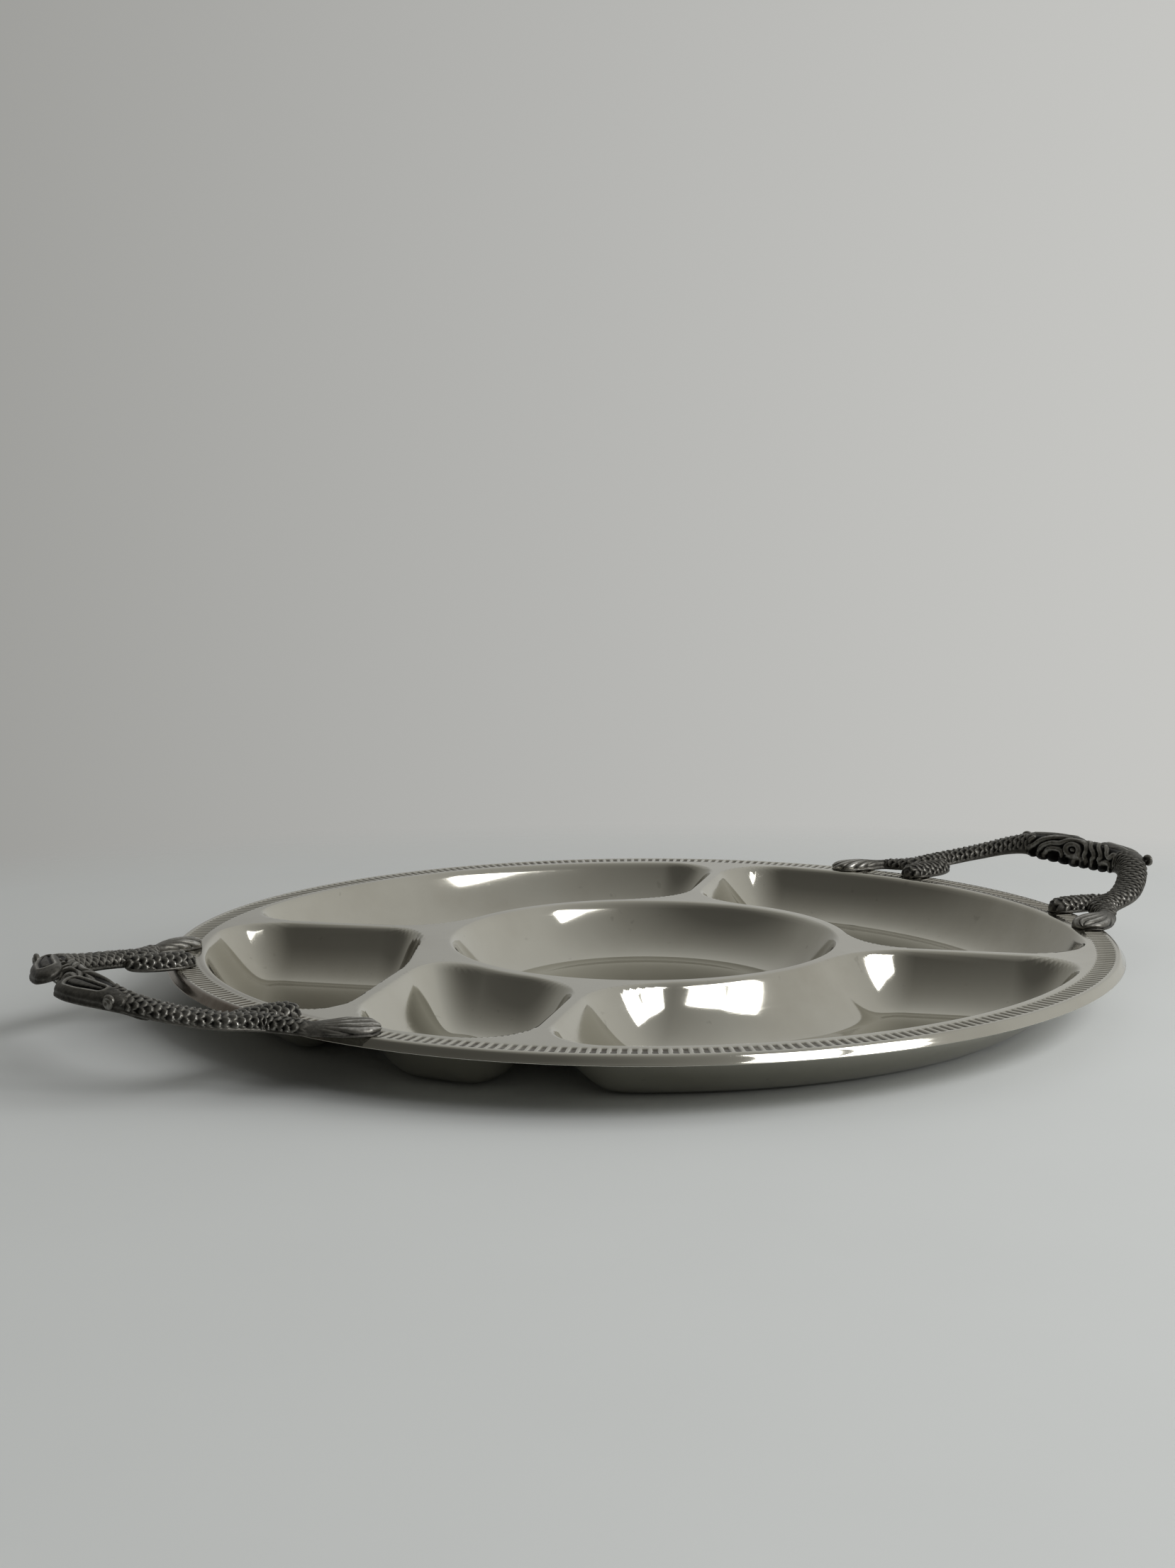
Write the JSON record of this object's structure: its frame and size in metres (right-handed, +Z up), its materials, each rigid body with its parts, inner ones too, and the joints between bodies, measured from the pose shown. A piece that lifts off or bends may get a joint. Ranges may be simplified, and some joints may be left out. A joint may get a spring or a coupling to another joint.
{
  "type": "divided serving tray",
  "caption": "Round metal serving tray with a centre well, outer wells split by ridges, a fluted rim and cast fish handles on opposite sides.",
  "frame": {"origin": "centre of the tray, on the surface that it stands on", "axes": "+Z up, X along the two handles, the skew ridge on the -X side"},
  "size_m": [0.4654, 0.36, 0.0387],
  "materials": {
    "polished_steel": "polished stainless sheet with fine scratches and light tarnish",
    "antiqued_casting": "dark antiqued casting, worn bright on the scales' edges",
    "plain_steel": "plain steel screw"
  },
  "bodies": {
    "root": {"tray_pan": "polished_steel", "left_handle": "antiqued_casting", "right_handle": "antiqued_casting", "handle_screws": "plain_steel"}
  },
  "joints": []
}
